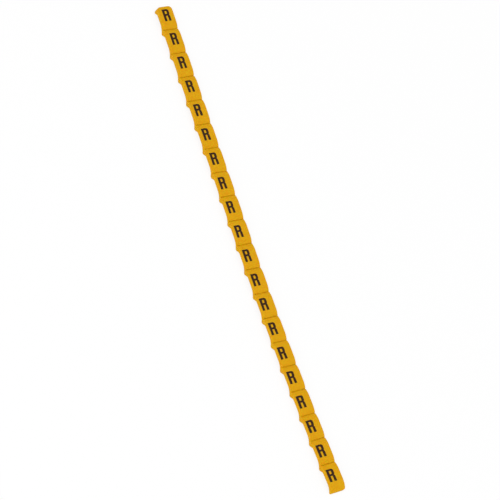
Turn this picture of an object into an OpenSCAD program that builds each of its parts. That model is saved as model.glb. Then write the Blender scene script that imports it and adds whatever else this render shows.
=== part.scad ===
// Cable marker strip: snap-off marker plates moulded end to end as one piece, lying face up.
// Millimetres. +Z is up out of the marked faces, +Y runs towards the top of the letters,
// +X to the reader's right. The underside of the feet is z = 0.

/* [Strip] */
// Number of marker plates in the strip
marker_count = 20; // [2:1:40]
// Distance from one snap-off joint to the next
pitch = 4.6; // [3.8:0.1:8]
// Width of the strip, which is the width of one marked face
strip_width = 3.0; // [2:0.1:6]
// Sideways set of the lower end, 0 for a straight strip
lower_bow = 1.8; // [0:0.1:3]
// Where the set starts, measured up the strip from its middle
bow_start = 0; // [-20:1:20]

/* [Plate] */
// Total height from the feet to the marked faces
total_height = 1.25; // [1:0.05:2.2]
// Wall thickness of a plate under its marked face
plate_wall = 0.55; // [0.4:0.05:0.8]
// Length of the level part of a marked face, along the strip
face_length = 1.84; // [1.2:0.04:2.4]
// How far the front falls from the marked face to a joint
joint_drop = 0.36; // [0.2:0.02:0.5]

/* [Joint and foot] */
// Depth of the fine break groove along each joint
groove_depth = 0.1; // [0.04:0.02:0.2]
// Length of the flat land a foot stands on
foot_land = 0.28; // [0.2:0.02:0.4]
// Slope of the lower flank of a foot, measured from the table
foot_slope = 45; // [35:1:60]
// Rounding between the flank of a foot and the underside of the plate
root_radius = 0.5; // [0.2:0.05:0.8]

/* [Free ends] */
// Length of the flat land under the top end
top_land = 0.6; // [0.2:0.02:0.8]
// How much further down the strip the foot of the top end starts than the other feet
top_foot_back = 0.25; // [0:0.05:0.4]
// Length of the flat land under the bottom end, past the arc of the last plate
bottom_land = 0.2; // [0.1:0.02:0.5]
// Corner radius of the top end on the reader's right
top_right_radius = 0.6; // [0.1:0.05:0.9]
// Corner radius of the top end on the reader's left
top_left_radius = 0.9; // [0.1:0.05:0.9]
// Corner radius of both corners of the bottom end
bottom_radius = 0.25; // [0.05:0.05:0.6]

/* [Hidden] */
$fn = 96;
plastic = [0.86, 0.63, 0.07];
margin = 1;
// How far a rounding passes the flat it runs into, so that the two cross instead of only touching
join = 0.001;
half = pitch / 2;
flat_half = face_length / 2;
// Front shoulder: an arc that leaves the marked face level and reaches the joint joint_drop lower
reach = half - flat_half;
shoulder_r = (reach * reach + joint_drop * joint_drop) / (2 * joint_drop);
shoulder_z = total_height - shoulder_r;
// Underside: the same centre, one wall thickness further in, so the lower end keeps an even wall
inner_r = shoulder_r - plate_wall;
ceiling = total_height - plate_wall;
// The foot under a joint starts where the arc of the plate above it reaches the table;
// the far side of its land is measured up the strip from the middle of the plate below
arc_reach = sqrt(inner_r * inner_r - shoulder_z * shoulder_z);
flank_start = pitch - flat_half - arc_reach - foot_land;
top_flank_start = flank_start - top_foot_back;
// Rounding at the root of a flank, which can't be larger than the hollow is high
root_r = min(root_radius, 0.8 * ceiling);
// Its centre is root_r below the ceiling and this far back from the foot
root_back = ceiling / tan(foot_slope) + root_r * tan(foot_slope / 2);
// Lengths of the two halves either side of the middle of the strip
mid_run = marker_count * pitch / 2;
top_run = mid_run - half + top_flank_start + top_land;
low_run = mid_run - half + flat_half + arc_reach + bottom_land;
bow_on = lower_bow > 0.01;
bow_run = low_run + bow_start;
bow_r = bow_on ? bow_run * bow_run / (2 * lower_bow) : 0;
bow_steps = 1440;
// How far a bottom corner's rounding passes the side, which is very slightly curved
corner_slip = 0.004;
// Shift that puts the middle of the whole strip over the origin, allowing for the rounded corners
low_turn = strip_turn(-low_run);
side_turn = strip_turn(-low_run + bottom_radius);
far_right = bow_on ? bow_r - (bow_r - strip_width / 2) * cos(side_turn) : strip_width / 2;
low_edge = strip_y(-low_run) - (strip_width / 2 - bottom_radius) * sin(low_turn)
  - bottom_radius * (1 - cos(low_turn));
shift_x = -(far_right - strip_width / 2) / 2;
shift_y = -(top_run + low_edge) / 2;

// Turn and place of the strip's centre line, s millimetres up from the middle
function strip_turn(s) = (bow_on && s < bow_start) ? (bow_start - s) / bow_r * 180 / PI : 0;
function strip_x(s) = (bow_on && s < bow_start) ? bow_r * (1 - cos(strip_turn(s))) : 0;
function strip_y(s) = (bow_on && s < bow_start) ? bow_start - bow_r * sin(strip_turn(s)) : s;

// Puts its children on the centre line, turned with it
module on_strip(s) {
  translate([strip_x(s), strip_y(s), 0]) rotate([0, 0, strip_turn(s)]) children();
}

// Turns a drawing of (up the strip, height) into a cutter that runs right across the strip
module across() {
  translate([-strip_width / 2 - margin, 0, 0])
    rotate([90, 0, 90])
      linear_extrude(height = strip_width + 2 * margin) children();
}

// The piece outside one rounded corner at the origin, for a corner that points to +x and +y.
// Slip moves the rounding out past the side, for a side that isn't quite straight
module corner_piece(r, slip = 0) {
  translate([slip - r, -r]) difference() {
    square([r - slip + margin, r + margin]);
    circle(r);
  }
}

// Outline of the strip seen from above
module outline() {
  difference() {
    union() {
      translate([-strip_width / 2, bow_start]) square([strip_width, top_run - bow_start]);
      if (bow_on) {
        intersection() {
          translate([bow_r, bow_start]) difference() {
            circle(bow_r + strip_width / 2, $fn = bow_steps);
            circle(bow_r - strip_width / 2, $fn = bow_steps);
          }
          translate([-strip_width, -low_run - 2 * margin])
            square([strip_width * 2 + lower_bow * 2, bow_run + 2 * margin]);
        }
      } else {
        translate([-strip_width / 2, -low_run]) square([strip_width, bow_run]);
      }
    }
    translate([strip_width / 2, top_run]) corner_piece(top_right_radius);
    translate([-strip_width / 2, top_run]) mirror([1, 0]) corner_piece(top_left_radius);
  }
}

// Straight cut across the bottom end with its two corners rounded
module bottom_cut() {
  on_strip(-low_run) translate([0, 0, -margin]) linear_extrude(height = total_height + 2 * margin) {
    translate([-2 * strip_width, -4 * strip_width]) square(4 * strip_width);
    translate([strip_width / 2, 0]) mirror([0, 1]) corner_piece(bottom_radius, corner_slip);
    translate([-strip_width / 2, 0]) rotate([0, 0, 180]) corner_piece(bottom_radius, corner_slip);
  }
}

// Front valley at a joint: two shoulder arcs that meet, with the break groove at the bottom
module valley() {
  across() {
    difference() {
      translate([-reach, total_height - 2 * joint_drop]) square([2 * reach, 2 * joint_drop + margin]);
      translate([-reach, shoulder_z]) circle(shoulder_r + join);
      translate([reach, shoulder_z]) circle(shoulder_r + join);
    }
    translate([0, total_height - joint_drop]) rotate([0, 0, 45])
      square(groove_depth * sqrt(2), center = true);
  }
}

// A plate at a free end falls away in one arc to that end, with no joint after it
module end_shoulder() {
  across() difference() {
    mirror([1, 0]) square([reach + 2 * margin, total_height + margin]);
    translate([0, shoulder_z]) circle(shoulder_r + join);
  }
}

// Hollow under one plate: level ceiling, the shoulder's own arc at the lower end,
// and a sloped flank with a rounded root up against the foot at the upper end
module hollow(flank) {
  root_u = flank - root_back;
  // The shapes overlap as far as the middle of the ceiling
  mid_u = (root_u - flat_half) / 2;
  across() {
    intersection() {
      translate([-flat_half, shoulder_z]) circle(inner_r + join);
      translate([mid_u - 2 * inner_r, -margin]) square([2 * inner_r, ceiling + 2 * margin]);
    }
    translate([-flat_half, -margin]) square([flat_half + root_u, ceiling + margin]);
    translate([root_u, ceiling - root_r]) circle(root_r + join);
    polygon([
      [mid_u, -margin],
      [flank, -margin],
      [flank, 0],
      [root_u + root_r * sin(foot_slope), ceiling - root_r * (1 - cos(foot_slope))],
      [root_u, ceiling - root_r],
      [mid_u, ceiling - root_r]
    ]);
  }
}

module marker_strip() {
  color(plastic)
    translate([shift_x, shift_y, 0])
      difference() {
        linear_extrude(height = total_height) outline();
        bottom_cut();
        for (i = [1 : marker_count - 1]) on_strip(mid_run - i * pitch) valley();
        for (i = [0 : marker_count - 1])
          on_strip(mid_run - (i + 0.5) * pitch) hollow(i == 0 ? top_flank_start : flank_start);
        on_strip(mid_run - half + flat_half) mirror([0, 1, 0]) end_shoulder();
        on_strip(-mid_run + half - flat_half) end_shoulder();
      }
}

marker_strip();
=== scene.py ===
"""Looks of the cable marker strip: moulded yellow plates with one stamped letter each, on white card."""

import math
import bmesh
import bpy
from mathutils import Matrix, Vector
from mathutils.bvhtree import BVHTree


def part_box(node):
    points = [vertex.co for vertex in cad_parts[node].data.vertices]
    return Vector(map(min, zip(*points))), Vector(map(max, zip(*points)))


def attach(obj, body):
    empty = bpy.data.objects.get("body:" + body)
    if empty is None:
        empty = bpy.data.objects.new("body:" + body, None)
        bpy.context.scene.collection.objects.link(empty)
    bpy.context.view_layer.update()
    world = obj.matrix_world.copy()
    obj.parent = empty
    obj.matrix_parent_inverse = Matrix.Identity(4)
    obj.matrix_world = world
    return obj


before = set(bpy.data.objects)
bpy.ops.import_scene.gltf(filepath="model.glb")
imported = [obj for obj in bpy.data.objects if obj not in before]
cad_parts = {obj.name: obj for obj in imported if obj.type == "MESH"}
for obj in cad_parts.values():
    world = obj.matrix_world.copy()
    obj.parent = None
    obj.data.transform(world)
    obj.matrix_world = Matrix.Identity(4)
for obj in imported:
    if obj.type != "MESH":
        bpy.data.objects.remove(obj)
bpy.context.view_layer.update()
MM = 0.001

# Sizes of the strip, in millimetres, as they are in the part's source
PLATES = 20
PITCH = 4.6
STRIP_WIDTH = 3.0
# How far the strip runs up and down from its middle, and how far its lower end is set to the right
TOP_RUN = 45.808
LOW_RUN = 46.462
LOWER_BOW = 1.8
BOW_RADIUS = LOW_RUN ** 2 / (2 * LOWER_BOW)

# Where the middle of the strip lies in the frame, in millimetres
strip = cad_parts["marker_strip"]
strip_low, strip_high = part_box("marker_strip")
shift_x = strip_low[0] / MM + STRIP_WIDTH / 2
shift_y = strip_high[1] / MM - TOP_RUN


def linear(hex_colour):
    """An sRGB hex colour as linear red, green, blue and alpha."""
    parts = [int(hex_colour[i:i + 2], 16) / 255 for i in (1, 3, 5)]
    return [c / 12.92 if c <= 0.04045 else ((c + 0.055) / 1.055) ** 2.4 for c in parts] + [1.0]


def add(tree, kind, settings=None, links=None):
    """Adds one node. Settings fill its properties and sockets, links join other nodes to its sockets."""
    node = tree.nodes.new(kind)
    for key, value in (settings or {}).items():
        if isinstance(key, str) and hasattr(node, key):
            setattr(node, key, value)
        else:
            node.inputs[key].default_value = value
    for key, socket in (links or {}).items():
        tree.links.new(socket, node.inputs[key])
    return node


def start_material(name):
    """A new material with an empty node tree, and that tree."""
    material = bpy.data.materials.new(name)
    material.use_nodes = True
    material.node_tree.nodes.clear()
    return material, material.node_tree


def seen_directly(tree):
    """Socket that is 1 for what the eye sees, also in a reflection or through glass, and 0 for light."""
    path = add(tree, "ShaderNodeLightPath")
    seen = add(tree, "ShaderNodeMath", {"operation": "MAXIMUM"},
               {0: path.outputs["Is Camera Ray"], 1: path.outputs["Is Glossy Ray"]})
    seen = add(tree, "ShaderNodeMath", {"operation": "MAXIMUM"},
               {0: seen.outputs[0], 1: path.outputs["Is Transmission Ray"]})
    return seen.outputs[0]


def put_in_scene(name, data):
    """A new object in the scene that holds a mesh, a lamp or a camera."""
    thing = bpy.data.objects.new(name, data)
    bpy.context.scene.collection.objects.link(thing)
    return thing


# Polyamide moulded in a spark-eroded tool: an even golden yellow, nearly matt, with a fine pebbled
# skin that breaks up the highlights, a cloudiness that is only just seen, and a little light that
# goes in and comes out again, so that the joints look orange where they are shaded
CLOUD_SIZE = 2.2
# The tool's grain is about 0.05 mm, too fine for the render, so it is drawn at 0.12 mm
GRAIN_SIZE = 0.12
GRAIN_DEPTH = 0.01
# Moulded edges have a small radius, which softens their light
EDGE_RADIUS = 0.08
LIGHT_REACH = 0.35
polyamide, tree = start_material("moulded_polyamide_yellow")
place = add(tree, "ShaderNodeTexCoord")
clouds = add(tree, "ShaderNodeTexNoise", {"Scale": 1 / (CLOUD_SIZE * MM), "Detail": 3.0, "Roughness": 0.55},
             {"Vector": place.outputs["Object"]})
tint = add(tree, "ShaderNodeMix", {"data_type": "RGBA", "A": linear("#DBA209"), "B": linear("#E1A80D")},
           {"Factor": clouds.outputs["Fac"]})
grain = add(tree, "ShaderNodeTexNoise", {"Scale": 1 / (GRAIN_SIZE * MM), "Detail": 2.0, "Roughness": 0.5},
            {"Vector": place.outputs["Object"]})
edges = add(tree, "ShaderNodeBevel", {"samples": 8, "Radius": EDGE_RADIUS * MM})
skin = add(tree, "ShaderNodeBump", {"Strength": 0.5, "Distance": GRAIN_DEPTH * MM},
           {"Height": grain.outputs["Fac"], "Normal": edges.outputs["Normal"]})
gloss = add(tree, "ShaderNodeMapRange", {"To Min": 0.46, "To Max": 0.58},
            {"Value": grain.outputs["Fac"]})
plastic = add(tree, "ShaderNodeBsdfPrincipled",
              {"IOR": 1.53, "Specular IOR Level": 0.07, "Subsurface Weight": 0.45,
               "Subsurface Radius": (1.0, 0.4, 0.08), "Subsurface Scale": LIGHT_REACH * MM},
              {"Base Color": tint.outputs["Result"], "Roughness": gloss.outputs["Result"],
               "Normal": skin.outputs["Normal"]})
add(tree, "ShaderNodeOutputMaterial", links={"Surface": plastic.outputs["BSDF"]})

strip.material_slots[0].material = polyamide

# Pigmented ink stamped hot into the face: brown-black, flat, a little thin in places
THIN_PATCH_SIZE = 0.25
ink, tree = start_material("hot_stamped_ink_black")
place = add(tree, "ShaderNodeTexCoord")
patches = add(tree, "ShaderNodeTexNoise", {"Scale": 1 / (THIN_PATCH_SIZE * MM), "Detail": 2.0},
              {"Vector": place.outputs["Object"]})
density = add(tree, "ShaderNodeMix",
              {"data_type": "RGBA", "A": linear("#28170C"), "B": linear("#452A15")},
              {"Factor": patches.outputs["Fac"]})
pigment = add(tree, "ShaderNodeBsdfPrincipled", {"IOR": 1.5, "Roughness": 0.55, "Specular IOR Level": 0.1},
              {"Base Color": density.outputs["Result"]})
add(tree, "ShaderNodeOutputMaterial", links={"Surface": pigment.outputs["BSDF"]})

# White card: plain and matt. Seen straight on, or in a reflection, it shows most of its own white
# so that the picture's ground is white, and the rest takes the light and the strip's shadow
OWN_WHITE = 0.85
card, tree = start_material("matt_white_card")
share = add(tree, "ShaderNodeMath", {"operation": "MULTIPLY", 1: OWN_WHITE}, {0: seen_directly(tree)})
paper = add(tree, "ShaderNodeBsdfDiffuse", {"Color": linear("#FFFFFF")})
white = add(tree, "ShaderNodeEmission", {"Color": linear("#FFFFFF"), "Strength": 1.0})
ground = add(tree, "ShaderNodeMixShader",
             links={0: share.outputs[0], 1: paper.outputs["BSDF"], 2: white.outputs["Emission"]})
add(tree, "ShaderNodeOutputMaterial", links={"Surface": ground.outputs["Shader"]})

# A plain block letter with upright legs, in millimetres about its own middle
HALF_WIDE = 0.66
HALF_HIGH = 1.14
STROKE = 0.47
BAR = 0.36
# Height of the middle of its crossbar, and how much its right leg leans
WAIST = 0.04
LEAN = 0.02
# Its right side turns in under the bowl: the knee of the leg, and the notch above that
KNEE_DROP = 0.26
NOTCH = 0.12
NOTCH_DROP = 0.02
# Radii of the bowl, low and high, and of the hole in it, each across and up
BOWL_LOW = (0.24, 0.26)
BOWL_LOW_MIDDLE = 0.32
BOWL_TOP = (0.42, 0.38)
HOLE_LOW = (0.12, 0.12)
HOLE_TOP = (0.12, 0.14)

# The film of ink, in millimetres: its thickness on the rounded faces, how far it stands above the
# level ones, which are the top of the part, and how far it goes into the plastic
INK_THICK = 0.010
INK_PROUD = 0.003
INK_SUNK = 0.006
# Slices that let it follow the faces, how near to a point a cut goes through that point instead,
# and how sharp an edge has to be to look crisp
INK_SLICES = 24
INK_SNAP = 0.005
INK_CRISP = math.radians(30)
# Height above the table from which the faces are looked for
LOOK_FROM = 10.0

# The stamp drifted: it starts at the middle of the top plate and is furthest left some plates down
STAMP_LEFT = 0.53
STAMP_TURN = 13.5
# It sits a little high on every plate, and more so on the first ones, which fades over the last few
STAMP_UP = 0.15
STAMP_UP_FIRST = 0.22
FIRST_PLATES = 7
FIRST_FADE = 3
# From the middle of the strip down it was pressed harder, so the letters spread sideways, by this
# share on the last plate
SPREAD_FROM = 9
SPREAD = 0.11


def on_strip(along, across):
    """Point at table height, in metres, at a distance up the strip from its middle and across it."""
    turn = -along / BOW_RADIUS if along < 0 else 0.0
    x = BOW_RADIUS * (1 - math.cos(turn)) if along < 0 else 0.0
    y = -BOW_RADIUS * math.sin(turn) if along < 0 else along
    x += across * math.cos(turn) + shift_x
    y += across * math.sin(turn) + shift_y
    return Vector((x * MM, y * MM, 0.0))


def bend(centre, radii, start, end, steps):
    """Points of an elliptical corner, from one angle to another in degrees."""
    angles = [math.radians(start + (end - start) * i / steps) for i in range(steps + 1)]
    return [(centre[0] + radii[0] * math.cos(a), centre[1] + radii[1] * math.sin(a)) for a in angles]


def block_letter():
    """The outline of the letter and the outline of the hole in its bowl."""
    left = -HALF_WIDE
    stem = left + STROKE
    leg = HALF_WIDE - STROKE
    bar_low = WAIST - BAR / 2
    bar_top = WAIST + BAR / 2
    outside = (
        [(left, -HALF_HIGH), (stem, -HALF_HIGH), (stem, bar_low), (leg - LEAN, bar_low)]
        + [(leg, -HALF_HIGH), (HALF_WIDE, -HALF_HIGH)]
        + [(HALF_WIDE - LEAN, WAIST - KNEE_DROP), (HALF_WIDE - NOTCH, WAIST - NOTCH_DROP)]
        + bend((HALF_WIDE - BOWL_LOW[0], BOWL_LOW_MIDDLE), BOWL_LOW, -40, 0, steps=4)
        + bend((HALF_WIDE - BOWL_TOP[0], HALF_HIGH - BOWL_TOP[1]), BOWL_TOP, 0, 90, steps=8)
        + [(left, HALF_HIGH)]
    )
    inside = (
        [(stem, bar_top)]
        + bend((leg - HOLE_LOW[0], bar_top + HOLE_LOW[1]), HOLE_LOW, -90, 0, steps=5)
        + bend((leg - HOLE_TOP[0], HALF_HIGH - BAR - HOLE_TOP[1]), HOLE_TOP, 0, 90, steps=5)
        + [(stem, HALF_HIGH - BAR)]
    )
    return outside, inside


def flat_letter():
    """Mesh of one letter, flat and cut into slices so that it can follow a rounded face."""
    flat = bmesh.new()
    for loop in block_letter():
        corners = [flat.verts.new((x, y, 0)) for x, y in loop]
        for a, b in zip(corners, corners[1:] + corners[:1]):
            flat.edges.new((a, b))
    bmesh.ops.triangle_fill(flat, edges=flat.edges[:], use_beauty=True, normal=(0, 0, 1))
    for i in range(1, INK_SLICES):
        level = -HALF_HIGH + 2 * HALF_HIGH * i / INK_SLICES
        bmesh.ops.bisect_plane(flat, geom=flat.verts[:] + flat.edges[:] + flat.faces[:],
                               plane_co=(0, level, 0), plane_no=(0, 1, 0), dist=INK_SNAP)
    bmesh.ops.recalc_face_normals(flat, faces=flat.faces[:])
    mesh = bpy.data.meshes.new("flat_letter")
    flat.to_mesh(mesh)
    flat.free()
    return mesh


def stamp_letters():
    """All the letters as one film of ink that follows the faces under it."""
    faces = BVHTree.FromObject(strip, bpy.context.evaluated_depsgraph_get())
    letter = flat_letter()
    letters = bmesh.new()
    for i in range(PLATES):
        early = min(1.0, max(0.0, (FIRST_PLATES - i) / FIRST_FADE))
        along = (PLATES / 2 - i - 0.5) * PITCH + STAMP_UP + STAMP_UP_FIRST * early
        across = STAMP_LEFT * ((1 - i / STAMP_TURN) ** 2 - 1)
        spread = 1 + SPREAD * max(0, i - SPREAD_FROM) / (PLATES - 1 - SPREAD_FROM)
        first = len(letters.verts)
        letters.from_mesh(letter)
        letters.verts.ensure_lookup_table()
        for v in letters.verts[first:]:
            spot = on_strip(along + v.co.y, across + v.co.x * spread)
            hit = faces.ray_cast(spot + Vector((0, 0, LOOK_FROM * MM)), Vector((0, 0, -1)))[0]
            v.co = (hit.x, hit.y, min(hit.z + INK_THICK * MM, strip_high[2] + INK_PROUD * MM))
    bpy.data.meshes.remove(letter)
    rim = bmesh.ops.extrude_face_region(letters, geom=letters.faces[:], use_keep_orig=True)
    for v in rim["geom"]:
        if isinstance(v, bmesh.types.BMVert):
            v.co.z -= (INK_THICK + INK_SUNK) * MM
    bmesh.ops.recalc_face_normals(letters, faces=letters.faces[:])
    # The film is smooth over the rounded faces, with a crisp edge all round
    for f in letters.faces:
        f.smooth = True
    for e in letters.edges:
        e.smooth = e.calc_face_angle(0) < INK_CRISP
    mesh = bpy.data.meshes.new("stamped_letters")
    letters.to_mesh(mesh)
    letters.free()
    mesh.materials.append(ink)
    film = put_in_scene("stamped_letters", mesh)
    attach(film, "root")


stamp_letters()

# The table is a sheet of card just clear of the feet: its reach each way and its drop, in millimetres
TABLE_REACH = 3000.0
TABLE_DROP = 0.01
sides = ((-1, -1), (1, -1), (1, 1), (-1, 1))
table_mesh = bpy.data.meshes.new("white_table")
table_mesh.from_pydata([(x * TABLE_REACH * MM, y * TABLE_REACH * MM, -TABLE_DROP * MM) for x, y in sides],
                       [], [(0, 1, 2, 3)])
table_mesh.materials.append(card)
table = put_in_scene("white_table", table_mesh)

# The room is white to the eye, and lights the strip with a little less than that
ROOM_WHITE = 1.0
ROOM_LIGHT = 0.62
world = bpy.data.worlds.new("white_room")
bpy.context.scene.world = world
world.use_nodes = True
tree = world.node_tree
tree.nodes.clear()
level = add(tree, "ShaderNodeMapRange", {"To Min": ROOM_LIGHT, "To Max": ROOM_WHITE},
            {"Value": seen_directly(tree)})
room = add(tree, "ShaderNodeBackground", {"Color": linear("#FFFFFF")},
           {"Strength": level.outputs["Result"]})
add(tree, "ShaderNodeOutputWorld", links={"Surface": room.outputs["Background"]})


def softbox(name, place, wide, high, watts):
    """A rectangular area lamp that faces the strip, with its place and size in metres."""
    lamp = bpy.data.lights.new(name, "AREA")
    lamp.shape = "RECTANGLE"
    lamp.size = wide
    lamp.size_y = high
    lamp.energy = watts
    box = put_in_scene(name, lamp)
    box.location = place
    box.rotation_euler = (-Vector(place)).to_track_quat("-Z", "Y").to_euler()


softbox("softbox_left", place=(-0.6, -0.2, 0.5), wide=0.6, high=0.5, watts=2.0)
softbox("softbox_top", place=(0.1, -0.1, 0.8), wide=0.7, high=0.7, watts=1.6)

# The camera stands to the reader's left, a little below the middle of the strip, turned so that
# the strip runs from the top left of the picture to the bottom right
YAW = math.radians(31.72)
TILT = math.radians(-14.0)
ROLL = math.radians(19.04)
FIELD = math.radians(7.0)
SENSOR = 36.0
# Its place from the middle of the strip, along its own directions: right, up and back
SEAT = Vector((0.463, -0.456, 713.0)) * MM
turn = Matrix.Rotation(ROLL, 3, "Z") @ Matrix.Rotation(TILT, 3, "X") @ Matrix.Rotation(YAW, 3, "Y")
lens = bpy.data.cameras.new("camera")
lens.sensor_width = SENSOR
lens.lens = SENSOR / 2 / math.tan(FIELD / 2)
camera = put_in_scene("camera", lens)
camera.matrix_world = Matrix.Translation(turn.transposed() @ SEAT) @ turn.transposed().to_4x4()
bpy.context.scene.camera = camera

bpy.context.scene.view_settings.view_transform = "Standard"
